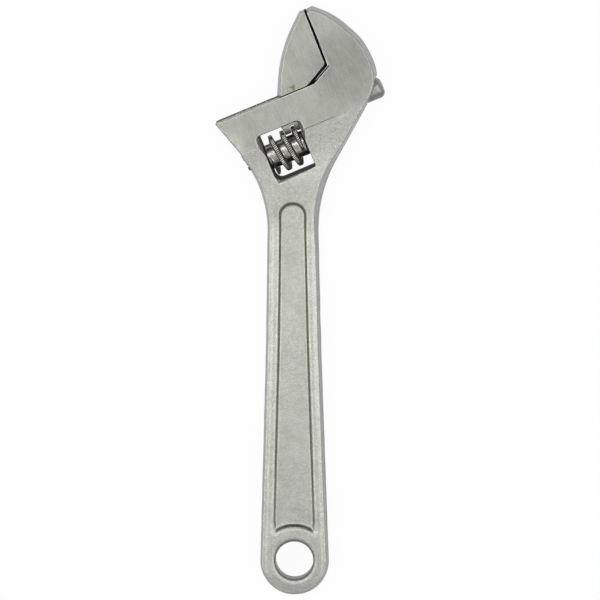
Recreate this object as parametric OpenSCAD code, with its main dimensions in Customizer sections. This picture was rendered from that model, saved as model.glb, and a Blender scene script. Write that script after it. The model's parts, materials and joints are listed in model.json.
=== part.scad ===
// Adjustable wrench: forged body with the fixed jaw, sliding jaw with its toothed rail,
// knurled worm that drives the rail, the worm's axle and its spring.
//
// Frame: the origin is the centre of the hanging hole at half thickness, +Y runs along the
// handle to the head and +Z is up. The head has a frame of its own at the worm's centre:
// u runs along the slide towards the fixed jaw, v towards the tips of the jaws.

/* [Handle] */
// Distance along the handle from the hanging hole to the worm's centre
head_y = 144.4; // [120:0.1:200]
// Offset of the worm's centre from the handle's axis
head_x = -2.2; // [-4:0.1:1]
// Radius of the handle's round end
tail_r = 12; // [10:0.1:14]
// Distance from the hanging hole's centre back to the centre of the round end
tail_drop = 0.5; // [0:0.1:2]
// Half width of the handle at its waist
waist_half_w = 9.6; // [8.6:0.1:11]
// Distance along the handle from the hanging hole to its waist
waist_y = 76; // [60:1:90]
// Radius of the handle's sides at the waist
waist_r = 2000; // [500:100:3000]
// Half width of the handle at its neck
neck_half_w = 8.9; // [8:0.1:10.5]
// Distance from the worm's centre back to the neck
neck_back = 30; // [26:0.5:40]
// Half thickness of the rim at the round end
tail_half_t = 4; // [3.4:0.1:5]
// Half thickness of the rim at the neck
neck_half_t = 4.2; // [3.4:0.1:5]
// Radius of the hanging hole
hole_r = 6.6; // [5:0.1:7.2]
// Width of the chamfer round the hanging hole
hole_chamfer = 1; // [0.4:0.1:1.4]
// Width of the rim round the recessed panel
rim_w = 4.5; // [3.5:0.1:6]
// Half thickness of the web under the recessed panel
web_half_t = 2.8; // [2:0.1:3.2]
// Distance from the worm's centre back to the top end of the panel
panel_back = 18.9; // [17:0.1:30]
// Distance from the hanging hole's centre to the panel
panel_hole_r = 12; // [9:0.1:15]

/* [Head] */
// Angle of the slide to the line across the handle
jaw_angle = 22.5; // [15:0.5:30]
// Half thickness of the ground faces of the head and the jaw
ground_half_t = 6.3; // [5:0.1:6.8]
// Height of the forged skin above the ground faces
skin_step = 0.2; // [0.1:0.05:0.5]
// Distance v from the worm's axis to the edge of the ground face
ground_v = 4.8; // [2:0.1:6]
// Distance v from the worm's axis to the slide surface
slide_v = 18.2; // [16.5:0.1:20]
// Distance v from the slide surface to the tips of the jaws
jaw_height = 23.9; // [20:0.1:30]
// Distance u from the worm's centre to the face of the fixed jaw
face_u = 25.4; // [24:0.1:27]
// Width of the fixed jaw's flat tip
tip_w = 2.1; // [1.5:0.1:3]
// Rise of the throat at the foot of the fixed jaw
throat_rise = 3.6; // [2.5:0.1:5]
// Run of the throat at the foot of the fixed jaw
throat_run = 7.1; // [5:0.1:7.5]
// Greatest distance u from the worm's centre to the back of the head
back_u = 40.2; // [38:0.1:44]
// Angle of the left flank of the head to the handle
left_flare = 39.8; // [36:0.2:44]
// Angle of the right flank of the head to the handle
right_flare = 29.2; // [26:0.2:32]
// Distance from the worm's centre back to the foot of the left flank
left_foot = 13.3; // [11:0.1:15]
// Distance from the worm's centre back to the foot of the right flank
right_foot = 15.2; // [13:0.1:17]
// Radius of the hollow between the handle and the left flank
left_hollow_r = 41.5; // [30:0.5:45]
// Radius of the hollow between the handle and the right flank
right_hollow_r = 50; // [36:0.5:54]
// Radius of the lower corner of the head's back
back_r = 14.2; // [10:0.1:16]
// Radius of the middle of the head's back
crown_r = 24.4; // [18:0.1:28]
// Distance v from the middle of the head's back to the tips
crown_drop = 16.9; // [14:0.1:19]
// Radius of the fixed jaw's back above the middle
beak_r = 21.5; // [16:0.1:24]
// Distance v from the corner of the fixed jaw's back to the tips
beak_drop = 3.4; // [2.5:0.1:5]
// Distance u from the corner of the fixed jaw's back to the back of the head
beak_inset = 7.6; // [6:0.1:9]
// Radius of the corner at the back of the fixed jaw's tip
tip_r = 1; // [0.5:0.1:1.5]
// Radius at the corners of the throat and at the front of the tips
throat_r = 0.6; // [0.3:0.1:1]
// Radius of the slide's left end
slide_end_r = 1.2; // [0.5:0.1:2]
// Height of the window above the rail's axis
window_rise = 0.6; // [0:0.1:1]
// Radius of the window's lower left corner
window_corner_r = 2; // [0.5:0.1:2.4]
// Radius of the thumb relief on each side of the window
relief_r = 9.5; // [5:0.1:9.5]
// Distance v from the worm's axis to the middle of the thumb relief
relief_v = 6; // [4:0.1:7]
// Reach of the thumb relief past the window's side
relief_w = 1.3; // [0.5:0.1:1.8]
// Reach of the thumb relief past the window's upper edge
relief_rise = 0.3; // [0:0.1:0.5]
// Depth of the thumb relief
relief_depth = 1.9; // [1:0.1:2.5]

/* [Sliding jaw] */
// Gap between the jaws as drawn
jaw_gap = 0.5; // [0.1:0.05:2]
// Width of the sliding jaw's flat tip
jaw_tip_w = 2.5; // [1.5:0.1:3]
// Radius of the rail
rail_r = 3.75; // [3.5:0.05:4]
// Distance v from the worm's axis to the rail's axis
rail_v = 8; // [7.9:0.05:8.4]
// Distance u from the worm's centre to the rail's right end
rail_right_u = 39.6; // [37:0.1:43]
// Distance u from the worm's centre to the rail's left end
rail_left_u = 1.6; // [0:0.1:2]
// Length of the plain part at the rail's right end
rail_plain = 7.8; // [6:0.1:10]
// Depth of the rail's teeth
tooth_depth = 2.5; // [2.3:0.1:2.8]
// Distance u that the rail's teeth lie off the middle of the thread's spaces
tooth_shift = 0.08; // [0:0.01:0.1]
// Thickness of the neck that carries the jaw on its rail
neck_t = 4; // [3:0.1:5]
// Width of the jaw's foot on the slide, without its relieved corner
foot_w = 13.5; // [10:0.1:14]
// Radius of the outer end of the jaw's foot
foot_r = 0.8; // [0.4:0.1:1.2]
// Distance u from the jaw's face to the middle of its hollow back
jaw_back_run = 13.4; // [12:0.1:15]
// Distance v from the middle of the jaw's hollow back to the tips
jaw_back_drop = 9.4; // [8:0.1:11]
// Radius of the jaw's hollow back
jaw_back_r = 52; // [30:1:60]
// Distance from the jaw's tip corner to the start of its back
jaw_nose_run = 1.7; // [1:0.1:2.5]
// Drop from the jaw's tip to the start of its back
jaw_nose_drop = 0.6; // [0.3:0.1:1]
// Radius between the jaw's tip and its back
jaw_nose_r = 5; // [2:0.5:6]
// Distance that the jaw closes from its place as drawn
close_travel = 0.45; // [0:0.05:0.5]

/* [Worm] */
// Pitch of the worm's thread
pitch = 4.3; // [4:0.05:4.5]
// Radius over the worm's thread
worm_r = 6.95; // [6.7:0.05:7.1]
// Radius of the worm's core
core_r = 4.4; // [3.6:0.05:4.6]
// Length of the worm
worm_len = 13.7; // [12:0.1:15]
// Length of the plain hub at each end of the worm
hub_len = 1; // [0.4:0.1:1.6]
// Width of the thread at its crest
crest_w = 1.2; // [0.8:0.05:1.3]
// Angle of the thread's flanks
flank_angle = 8; // [5:1:16]
// Distance u from the head's own centre to the thread's crest under the rail
thread_u = 0.8; // [0:0.1:1.2]
// Distance u from the head's own centre to the middle of the worm
worm_mid_u = 0.05; // [-0.3:0.05:0.5]

/* [Axle and spring] */
// Radius of the axle's shank
axle_r = 1.6; // [1.4:0.05:1.8]
// Radius of the axle's threaded head
axle_head_r = 1.9; // [1.9:0.05:2.6]
// Depth of the axle's seat in the right wall
seat_depth = 5; // [3:0.1:7]
// Width of the screwdriver slot
driver_slot_w = 0.7; // [0.5:0.05:1]
// Depth of the screwdriver slot
driver_slot_depth = 0.9; // [0.6:0.05:1.5]
// Depth of the spring's pocket in the worm
pocket_depth = 5; // [3.5:0.1:7]
// Radius of the spring's pocket in the worm
pocket_r = 3; // [2.8:0.05:3.2]
// Radius of the spring's wire
wire_r = 0.3; // [0.2:0.01:0.32]
// Number of turns of the spring
spring_turns = 4; // [3:0.5:5]
// Reach of the axle's head out of the left edge of the head
axle_reach = 0.25; // [0:0.05:0.5]

/* [Clearances] */
// Gap round the rail in its bore
rail_gap = 0.08; // [0.04:0.01:0.1]
// Gap on each side of the neck in its slot
neck_gap = 0.15; // [0.1:0.01:0.3]
// Gap between the jaw's foot and the slide
slide_gap = 0.1; // [0.05:0.01:0.3]
// Gap u between the jaw's foot and the foot of the throat
toe_gap = 0.4; // [0.3:0.1:2]
// Gap v between the jaw's foot and the top of the throat
toe_rise = 0.3; // [0.3:0.1:2]
// Gap between the neck and the right end of its slot with the jaws closed
slot_end_gap = 0.5; // [0.3:0.1:1]
// Gap between the axle's end and the bottom of its seat
seat_end_gap = 0.2; // [0.1:0.05:0.4]
// Gap at each end of the spring
spring_end_gap = 0.05; // [0.02:0.01:0.1]
// Gap at each flank of the thread in the rail's teeth
tooth_gap = 0.2; // [0.15:0.01:0.25]
// Gap between the worm's core and the flat crests of the rail's teeth
crest_gap = 0.6; // [0.3:0.05:0.8]
// Gap between the worm's bore and its axle
axle_gap = 0.05; // [0.02:0.01:0.08]
// Gap round the axle in the head
seat_gap = 0.02; // [0.01:0.01:0.05]
// Gap at the left end of the worm in its window
worm_left_gap = 0.2; // [0.1:0.05:0.4]
// Gap at the right end of the worm in its window
worm_right_gap = 0.8; // [0.1:0.05:0.8]
// Gap between the worm and the bottom of its window
worm_foot_gap = 1.5; // [1:0.05:3]

/* [Hidden] */
$fn = 64;
past = 5; // how far a cut runs past what it cuts
eps = 0.01;
forged_half_t = ground_half_t + skin_step;
tail_y = -tail_r - tail_drop;
neck_y = head_y - neck_back;
lower_taper = (tail_r - waist_half_w) / (waist_y + tail_drop);
upper_taper = (waist_half_w - neck_half_w) / (neck_y - waist_y);
tip_v = slide_v + jaw_height;
worm_left_u = worm_mid_u - worm_len / 2;
worm_right_u = worm_left_u + worm_len;
window_left_u = worm_left_u - worm_left_gap;
window_right_u = worm_right_u + worm_right_gap;
window_bottom_v = -worm_r - worm_foot_gap;
window_top_v = rail_v + window_rise;
tooth_crest_v = core_r + crest_gap;
jaw_u = face_u - jaw_gap;
neck_inset = 2; // how far the neck stays inside the foot's outer end
neck_right_u = jaw_u - throat_run - toe_gap;
neck_left_u = neck_right_u - foot_w + neck_inset;
slot_end_u = neck_right_u + close_travel + slot_end_gap;
seat_end_u = window_right_u + seat_depth;
thread_slope = tan(flank_angle);

// Half width of the handle's straight sides at height y
function side_x(y) = y < waist_y ? tail_r - lower_taper * (y + tail_drop)
                                 : waist_half_w - upper_taper * (y - waist_y);
// A point of the head's frame in the part's frame
function from_head(p) = [head_x + p.x * cos(jaw_angle) - p.y * sin(jaw_angle),
                         head_y + p.x * sin(jaw_angle) + p.y * cos(jaw_angle)];
function cross2(a, b) = a.x * b.y - a.y * b.x;
function unit(a) = a / norm(a);
// Where the line through p along d meets the line through q along e
function meet(p, d, q, e) = p + d * cross2(q - p, e) / cross2(d, e);

// Foot of each flank on the handle's side, and the corners that the flanks end at
right_dir = [sin(right_flare), cos(right_flare)];
left_dir = [-sin(left_flare), cos(left_flare)];
slide_dir = [cos(jaw_angle), sin(jaw_angle)];
rise_dir = [-sin(jaw_angle), cos(jaw_angle)];
right_flank = [side_x(head_y - right_foot), head_y - right_foot];
left_flank = [-side_x(head_y - left_foot), head_y - left_foot];
back_corner = meet(right_flank, right_dir, from_head([back_u, 0]), rise_dir);
left_tip = meet(left_flank, left_dir, from_head([0, slide_v]), slide_dir);

face_r = 0.5; // radius at the upper end of each jaw's face
crown_inset = 0.3; // how far the middle of the back lies inside its greatest reach

// Corners of the body's outline, anticlockwise, each as a point and a radius
body_corners = [
    [[side_x(tail_y), tail_y], tail_r],
    [[waist_half_w, waist_y], waist_r],
    [right_flank, right_hollow_r],
    [back_corner, back_r],
    [from_head([back_u - crown_inset, tip_v - crown_drop]), crown_r],
    [from_head([back_u - beak_inset, tip_v - beak_drop]), beak_r],
    [from_head([face_u + tip_w, tip_v]), tip_r],
    [from_head([face_u, tip_v]), face_r],
    [from_head([face_u, slide_v + throat_rise]), throat_r],
    [from_head([face_u - throat_run, slide_v]), throat_r],
    [left_tip, slide_end_r],
    [left_flank, left_hollow_r],
    [[-waist_half_w, waist_y], waist_r],
    [[-side_x(tail_y), tail_y], tail_r],
];

// Corners of the sliding jaw's plate in the head's frame
jaw_corners = [
    [[neck_right_u, slide_v + slide_gap], throat_r],
    [[jaw_u, slide_v + throat_rise + toe_rise], throat_r],
    [[jaw_u, tip_v], face_r],
    [[jaw_u - jaw_tip_w, tip_v], tip_r],
    [[jaw_u - jaw_tip_w - jaw_nose_run, tip_v - jaw_nose_drop], jaw_nose_r],
    [[jaw_u - jaw_back_run, tip_v - jaw_back_drop], jaw_back_r],
    [[neck_right_u - foot_w, slide_v + slide_gap], foot_r],
];

// Corners of the recessed panel, set in from the handle's straight sides
panel_top = head_y - panel_back;
panel_bottom = tail_r / 2;
panel_top_x = side_x(panel_top) - rim_w;
panel_end_r = panel_top_x;
panel_corner_r = 0.5;
panel_corners = [
    [[side_x(panel_bottom) - rim_w, panel_bottom], panel_corner_r],
    [[waist_half_w - rim_w, waist_y], waist_r],
    [[panel_top_x, panel_top], panel_end_r],
    [[-panel_top_x, panel_top], panel_end_r],
    [[rim_w - waist_half_w, waist_y], waist_r],
    [[-side_x(panel_bottom) + rim_w, panel_bottom], panel_corner_r],
];

// Arc that rounds one corner between the directions d0 and d1, as a list of points
function corner_arc(p, d0, d1, r, steps) =
    let(turn = atan2(cross2(d0, d1), d0 * d1),
        start = p - d0 * r * tan(abs(turn) / 2),
        centre = start + [-d0.y, d0.x] * r * sign(turn),
        arm = start - centre)
    [for (k = [0:steps]) let(a = turn * k / steps)
        centre + [arm.x * cos(a) - arm.y * sin(a), arm.x * sin(a) + arm.y * cos(a)]];

// Number of steps of a corner's arc, finer where the arc is long
function arc_steps(r, turn) = max(2, ceil(sqrt(r) * turn / 22));

// Outline through rounded corners, each a point and a radius. Where two arcs would meet on an
// edge, both are made smaller in the same proportion.
function outline(corners) =
    let(n = len(corners),
        spans = [for (i = [0:n - 1]) corners[(i + 1) % n][0] - corners[i][0]],
        turns = [for (i = [0:n - 1]) let(a = spans[(i + n - 1) % n], b = spans[i])
            abs(atan2(cross2(a, b), a * b))],
        reach = [for (i = [0:n - 1]) corners[i][1] * tan(turns[i] / 2)],
        fit = [for (i = [0:n - 1]) 0.999 * norm(spans[i]) / (reach[i] + reach[(i + 1) % n])])
    [for (i = [0:n - 1])
        let(r = corners[i][1] * min(1, fit[i], fit[(i + n - 1) % n]))
        each corner_arc(corners[i][0], unit(spans[(i + n - 1) % n]), unit(spans[i]), r,
                        arc_steps(r, turns[i]))];

// Solid through rings of equally many points, from the bottom ring to the top one
module rings(list) {
    n = len(list[0]);
    m = len(list);
    sides = [for (j = [0:m - 2], i = [0:n - 1])
        [j * n + i, (j + 1) * n + i, (j + 1) * n + (i + 1) % n, j * n + (i + 1) % n]];
    caps = [[for (i = [0:n - 1]) i], [for (i = [n - 1:-1:0]) (m - 1) * n + i]];
    polyhedron([for (ring = list) each ring], concat(caps, sides), convexity = 6);
}

module at_head() {
    translate([head_x, head_y, 0]) rotate(jaw_angle) children();
}

// Cylinder along u between two distances from the worm's centre
module along_u(u0, u1, r, v = 0) {
    translate([u0, v, 0]) rotate([0, 90, 0]) cylinder(r = r, h = u1 - u0);
}

// Forged blank, thicker than the body everywhere
module blank() {
    linear_extrude(height = 2 * forged_half_t + 1, center = true)
        polygon(outline(body_corners));
}

// Side view of the body: thin handle, thick head and a smooth shoulder between them
module side_profile() {
    shoulder = 22;
    steps = 12;
    upper = [
        [2 * tail_y, tail_half_t],
        [0, tail_half_t],
        for (k = [0:steps])
            [neck_y + shoulder * k / steps,
             neck_half_t + (forged_half_t - neck_half_t) * (1 - cos(180 * k / steps)) / 2],
        [head_y + 3 * tip_v, forged_half_t],
    ];
    lower = [for (i = [len(upper) - 1:-1:0]) [upper[i].x, -upper[i].y]];
    rotate([90, 0, 90])
        linear_extrude(height = 4 * back_u, center = true)
            polygon(concat(upper, lower));
}

module hanging_hole() {
    cylinder(r = hole_r, h = 4 * tail_half_t, center = true);
    for (side = [0, 1]) mirror([0, 0, side])
        translate([0, 0, tail_half_t - hole_chamfer])
            cylinder(r1 = hole_r, r2 = hole_r + hole_chamfer + eps, h = hole_chamfer + eps);
}

module panel() {
    for (side = [0, 1]) mirror([0, 0, side])
        translate([0, 0, web_half_t])
            linear_extrude(height = past)
                difference() {
                    polygon(outline(panel_corners));
                    circle(r = panel_hole_r);
                }
}

// Metal left standing in the window's rounded lower left corner
module window_corner() {
    side = window_corner_r + eps;
    difference() {
        translate([-eps, -eps, -2 * forged_half_t]) cube([side, side, 4 * forged_half_t]);
        translate([window_corner_r, window_corner_r, 0])
            cylinder(r = window_corner_r, h = 6 * forged_half_t, center = true);
    }
}

// Thumb relief on both sides of the window, in one face of the head
module thumb_relief() {
    mid_u = (window_left_u + window_right_u) / 2;
    half_w = mid_u - window_left_u + relief_w;
    reach_v = window_top_v + relief_rise - window_bottom_v;
    floor_z = forged_half_t - relief_depth;
    for (side = [0, 1]) translate([mid_u, 0, 0]) mirror([side, 0, 0])
        intersection() {
            translate([half_w - relief_r, relief_v, floor_z]) cylinder(r = relief_r, h = past);
            translate([-eps, window_bottom_v, floor_z - eps]) cube([half_w + eps, reach_v, 2 * past]);
        }
}

// Window for the worm, open on both faces of the head
module window() {
    difference() {
        translate([window_left_u, window_bottom_v, -2 * forged_half_t])
            cube([window_right_u - window_left_u, window_top_v - window_bottom_v, 4 * forged_half_t]);
        translate([window_left_u, window_bottom_v, 0]) window_corner();
    }
    for (side = [0, 1]) mirror([0, 0, side]) thumb_relief();
}

module wrench_body() {
    color("#b9bab3") difference() {
        intersection() {
            blank();
            side_profile();
        }
        hanging_hole();
        panel();
        at_head() {
            for (side = [0, 1]) mirror([0, 0, side])
                translate([-2 * back_u, ground_v, ground_half_t])
                    cube([4 * back_u, 2 * tip_v, past]);
            window();
            along_u(-back_u, back_u + past, rail_r + rail_gap, rail_v);
            translate([-back_u, rail_v, -neck_t / 2 - neck_gap])
                cube([back_u + slot_end_u, slide_v - rail_v + past, neck_t + 2 * neck_gap]);
            along_u(-back_u, window_left_u + eps, axle_head_r + seat_gap);
            along_u(window_right_u - eps, seat_end_u, axle_r + seat_gap);
        }
    }
}

// Space of the worm's thread between two teeth of the rail, with its working gap
module tooth_space() {
    root_v = tooth_crest_v + tooth_depth;
    mesh_r = (worm_r + tooth_crest_v) / 2;
    width_at = function (v) crest_w / 2 + max(0, worm_r - v) * thread_slope + tooth_gap;
    low_v = tooth_crest_v - 1;
    rotate([0, atan(pitch / (2 * PI * mesh_r)), 0])
        linear_extrude(height = 4 * rail_r, center = true)
            polygon([
                [-width_at(low_v), low_v],
                [width_at(low_v), low_v],
                [width_at(root_v), root_v],
                [-width_at(root_v), root_v],
            ]);
}

module rail() {
    chamfer = 1;
    spaces = floor((rail_right_u - rail_plain - thread_u) / pitch);
    flat_end_u = thread_u - tooth_shift + spaces * pitch;
    difference() {
        union() {
            along_u(rail_left_u, rail_right_u - chamfer + eps, rail_r, rail_v);
            translate([rail_right_u - chamfer, rail_v, 0]) rotate([0, 90, 0])
                cylinder(r1 = rail_r, r2 = rail_r - chamfer, h = chamfer);
        }
        for (k = [0:spaces]) translate([thread_u - tooth_shift + k * pitch, 0, 0]) tooth_space();
        translate([0, tooth_crest_v - past, -past])
            cube([flat_end_u, past, 2 * past]);
    }
}

module movable_jaw() {
    color("#adafa6") at_head() {
        union() {
            linear_extrude(height = 2 * ground_half_t, center = true)
                polygon(outline(jaw_corners));
            translate([neck_left_u, rail_v, -neck_t / 2])
                cube([neck_right_u - neck_left_u, slide_v + 1 - rail_v, neck_t]);
            rail();
        }
    }
}

// Single right-hand thread, longer than the worm at both ends
module thread() {
    steps_per_turn = 36;
    root_r = core_r - 0.4;
    half_crest = crest_w / 2;
    half_root = half_crest + (worm_r - root_r) * thread_slope;
    profile = [[root_r, half_root], [worm_r, half_crest], [worm_r, -half_crest], [root_r, -half_root]];
    turns = ceil(worm_len / pitch) + 2; // one turn spare at each end
    first = -floor(turns * steps_per_turn / 2);
    rings([for (k = [0:turns * steps_per_turn])
        let(a = 360 * (first + k) / steps_per_turn, u = thread_u + pitch * a / 360)
        [for (p = profile) [u + p.y, p.x * cos(a), p.x * sin(a)]]]);
}

module worm() {
    color("#8f8b82") at_head() {
        difference() {
            union() {
                along_u(worm_left_u, worm_right_u, core_r);
                intersection() {
                    thread();
                    along_u(worm_left_u + hub_len, worm_right_u - hub_len, worm_r + 1);
                }
            }
            along_u(worm_left_u - past, worm_right_u + past, axle_r + axle_gap);
            along_u(worm_left_u - past, worm_left_u + pocket_depth, pocket_r);
        }
    }
}

// Distance u to the left edge of the head on the worm's axis
left_edge_u = let(d = unit(left_tip - left_flank), hit = meet(left_flank, d, from_head([0, 0]), slide_dir))
    (hit - from_head([0, 0])) * slide_dir;

module worm_axle() {
    head_end_u = left_edge_u - axle_reach;
    color("#8a8a86") at_head() {
        difference() {
            union() {
                along_u(head_end_u, window_left_u, axle_head_r);
                along_u(window_left_u - eps, seat_end_u - seat_end_gap, axle_r);
            }
            translate([head_end_u - past, -driver_slot_w / 2, -past])
                cube([past + driver_slot_depth, driver_slot_w, 2 * past]);
        }
    }
}

module worm_spring() {
    steps_per_turn = 20;
    sides = 8;
    coil_r = (pocket_r + axle_r) / 2;
    start_u = window_left_u + spring_end_gap + wire_r;
    end_u = worm_left_u + pocket_depth - spring_end_gap - wire_r;
    count = spring_turns * steps_per_turn;
    color("#9a9a98") at_head()
        rings([for (k = [0:count])
            let(a = 360 * k / steps_per_turn, u = start_u + (end_u - start_u) * k / count)
            [for (j = [0:sides - 1])
                let(b = 360 * j / sides, r = coil_r + wire_r * cos(b))
                [u - wire_r * sin(b), r * cos(a), r * sin(a)]]]);
}

wrench_body();
movable_jaw();
worm();
worm_axle();
worm_spring();
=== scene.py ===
"""Looks of the adjustable wrench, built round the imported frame.

Each piece is worked out as a distance field in millimetres, meshed, and laid in the frame. The
part's frame has x across the handle and y along it, from the centre of the hanging hole. The head
has a frame of its own at the worm's centre: u runs along the slide to the fixed jaw, v to the tips.
Both share z, the height over the plane where the forging's halves part.
"""
import json
import math
from itertools import product
from types import SimpleNamespace

import bpy
import numpy as np
from mathutils import Matrix, Vector


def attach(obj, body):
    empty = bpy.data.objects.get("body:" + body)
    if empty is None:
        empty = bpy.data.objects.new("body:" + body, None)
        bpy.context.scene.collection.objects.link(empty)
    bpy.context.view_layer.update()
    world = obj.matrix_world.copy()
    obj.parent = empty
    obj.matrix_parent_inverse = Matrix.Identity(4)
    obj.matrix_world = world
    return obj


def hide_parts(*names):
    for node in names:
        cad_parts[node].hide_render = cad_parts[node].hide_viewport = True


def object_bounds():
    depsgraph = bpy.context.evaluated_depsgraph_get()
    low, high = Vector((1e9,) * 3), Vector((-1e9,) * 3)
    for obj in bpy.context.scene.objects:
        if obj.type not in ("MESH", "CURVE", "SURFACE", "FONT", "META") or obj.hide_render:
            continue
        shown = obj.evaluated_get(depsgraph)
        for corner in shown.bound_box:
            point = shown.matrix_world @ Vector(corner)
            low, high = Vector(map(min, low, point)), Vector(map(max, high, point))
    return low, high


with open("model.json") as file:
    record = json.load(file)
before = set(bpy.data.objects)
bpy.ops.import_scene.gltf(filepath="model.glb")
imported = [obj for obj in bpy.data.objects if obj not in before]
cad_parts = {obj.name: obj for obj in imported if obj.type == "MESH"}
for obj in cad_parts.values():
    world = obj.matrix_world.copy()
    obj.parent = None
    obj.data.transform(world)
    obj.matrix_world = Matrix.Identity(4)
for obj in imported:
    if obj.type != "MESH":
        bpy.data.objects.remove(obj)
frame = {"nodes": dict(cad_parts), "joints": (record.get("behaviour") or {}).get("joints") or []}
cad_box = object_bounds()
MM = 0.001

# --- Sizes, in millimetres ---------------------------------------------------------------------

# The head's frame, from the worm's joint.
spin = next(j for j in frame["joints"] if j["name"] == "worm_spin")
HEAD = np.array(spin["pos_m"][:2]) / MM
U_DIR = np.array(spin["axis"][:2])
V_DIR = np.array([-U_DIR[1], U_DIR[0]])
HEAD_CENTRE = np.array([*HEAD, 0])
HEAD_TURN = np.array([[*U_DIR, 0], [*V_DIR, 0], [0, 0, 1]])

# Handle: half widths, places along y, and half thicknesses.
TAIL_R, TAIL_DROP = 12.0, 0.5
WAIST_HALF_W, WAIST_Y, WAIST_ROUND = 9.6, 76, 2000
NECK_HALF_W, NECK_Y = 8.9, HEAD[1] - 30
FLARE_RIGHT_Y, FLARE_RIGHT_LEAN, FLARE_RIGHT_ROUND = HEAD[1] - 15.2, math.radians(29.2), 50
FLARE_LEFT_Y, FLARE_LEFT_LEAN, FLARE_LEFT_ROUND = HEAD[1] - 13.3, math.radians(-39.8), 41.5
TAIL_T, NECK_T, SKIN_T, GROUND_T = 4.0, 4.2, 6.5, 6.3
SHOULDER = 22  # the length over which the handle thickens into the head
EDGE_ROLL, EDGE_ROLL_RANGE = 0.25, (-2.9, -1.3)
HOLE_R = 6.6
HOLE_ROUND, HOLE_ROUND_TOP = 1.3, 1.8
BEAD_H, BEAD_W, BEAD_OUT, BEAD_RANGE = 0.12, 0.6, 1.8, (1, 4)
FLASH_T, FLASH_OUT = 0.8, 0.1

# Panel in each face of the handle.
RIM_W = 4.5
WEB_T = 2.8
PANEL_TOP = HEAD[1] - 18.6
PANEL_ARC_Y, PANEL_ARC_R = -0.5, 12.7
PANEL_END = 10.0  # about where its lower corners are
PANEL_WALL_Z = 3.5  # the height at which its walls meet its outline
PANEL_ROLL, PANEL_ROLL_RANGE = 0.15, (-1.4, -0.2)

# Fall of the skin's height to the right and left of the head and to the tail, the draft of its
# sides, and the lean of the panel's walls. Each change is an amount, from, to.
RIGHT_FALL, LEFT_FALL, TAIL_FALL = (-0.17, 14, 30), (-0.2, 5, 9), (-0.35, 3, 12)
LEFT_DRAFT, LEFT_DRAFT_CHANGES = 0.1, ((0.03, 0, 40),)
RIGHT_DRAFT = 0.17
RIGHT_DRAFT_CHANGES = ((0.04, 0, 40), (0.08, 100, 120), (-0.16, 132, 152))
TIP_DRAFT_CHANGE = (-0.055, 34, 40)
PANEL_LEAN = 0.7
PANEL_LEAN_CHANGES = ((-0.25, 40, 95), (-0.15, PANEL_TOP - 12, PANEL_TOP))
PANEL_END_LEAN = 0.7

# Unevenness of the forging: height, distance between bumps, seed.
OUTLINE_WAVES = (0.03, 9, 3)
SKIN_WAVES, FINE_WAVES = (0.03, 11, 5), (0.015, 3.5, 7)
WEB_WAVES = (0.02, 6, 11)
GROUND_WAVES = (0.12, 6, 13)
LIP_WAVES = (0.12, 1.6, 17)

# Head and jaws.
GROUND_V = 4.9
SLIDE_V = 18.2
TIP_V = 42.1
FACE_U, JAW_U, BACK_U = 25.4, 24.9, 40.2
THROAT_RUN, THROAT_RISE = 7.1, 3.6
TOE_GAP, TOE_DRAFT, TOE_OPEN = 0.4, 0.42, 0.22
FOOT_W = 13.3
JAW_DRAFT, FACE_LEAN, FACE_DRAFT = 0.2, 0.15, 0.055
JAW_CLEAR = 0.1
FLANK_SWELL, FLANK_SWELL_V, FLANK_SWELL_W, FLANK_SWELL_RANGE = 0.4, 1.5, 2.2, (9, 12)

# Rail under the jaw, its teeth and its neck.
RAIL_V, RAIL_R = 8.0, 3.75
RAIL_LEFT, RAIL_RIGHT, RAIL_PLAIN = 1.6, 39.6, 7.8
RAIL_END_ROUND, RACK_END_ROUND = 2.1, 0.25
TOOTH_CREST_V, TOOTH_DEPTH, TOOTH_SHIFT, TOOTH_CLEAR = 5.0, 2.5, 0.08, 0.2
NECK_THICK, NECK_V, NECK_HALF_V = 4.0, 13, 5.5
BORE_CLEAR, SLOT_CLEAR, AXLE_CLEAR = 0.08, 0.15, 0.02

# Window, and the thumb reliefs beside it.
WINDOW_LEFT, WINDOW_RIGHT, WINDOW_LOW, WINDOW_TOP = -6.85, 7.7, -8.45, 8.6
WINDOW_MIDDLE, WINDOW_HALF_W = (WINDOW_LEFT + WINDOW_RIGHT) / 2, (WINDOW_RIGHT - WINDOW_LEFT) / 2
WINDOW_CORNER_R = 2.5
RELIEF_R, RELIEF_V, RELIEF_W, RELIEF_RISE, RELIEF_SLOPE = 9.5, 6.0, 1.3, 0.3, 0.9
LIP_DROP, LIP_TAPER = 0.1, 0.8

# Worm, axle and spring.
PITCH = 4.3
WORM_R, CORE_R = 6.95, 4.4
WORM_LEFT, WORM_RIGHT, HUB_LEN = -6.75, 7.25, 1.0
WORM_CLEAR = 0.05
CREST_W = 1.3
FLANK = math.tan(math.radians(8))
THREAD_U = 0.8
THREAD_STOP = math.radians(455)  # the angle at which the thread runs out
KNURL_COUNT, KNURL_LEAN, KNURL_DEPTH = 60, 3.0, 0.2
AXLE_R, AXLE_HEAD_R = 1.6, 1.9
AXLE_STAND_OUT = 0.35
AXLE_THREAD_PITCH, AXLE_THREAD_H, AXLE_THREAD_START = 0.7, 0.06, 2.6
SLOT_HALF_W, SLOT_DEPTH = 0.35, 0.9
SEAT_END = 12.7
POCKET_R, POCKET_DEPTH = 3.0, 5.0
WIRE_R, SPRING_TURNS, SPRING_GAP = 0.3, 4, 0.05

BODY_STEP, JAW_STEP, WORM_STEP = ((0.27, 0.22, 0.1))
AXLE_STEP = 0.12
Z_MARGIN = 0.5


# --- Distance fields ---------------------------------------------------------------------------

def from_head(u, v):
    """A point of the head's frame in the part's frame."""
    return HEAD + u * U_DIR + v * V_DIR


def to_head(x, y):
    """Coordinates u, v of points of the part's frame."""
    dx, dy = x - HEAD[0], y - HEAD[1]
    return dx * U_DIR[0] + dy * U_DIR[1], dx * V_DIR[0] + dy * V_DIR[1]


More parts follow.
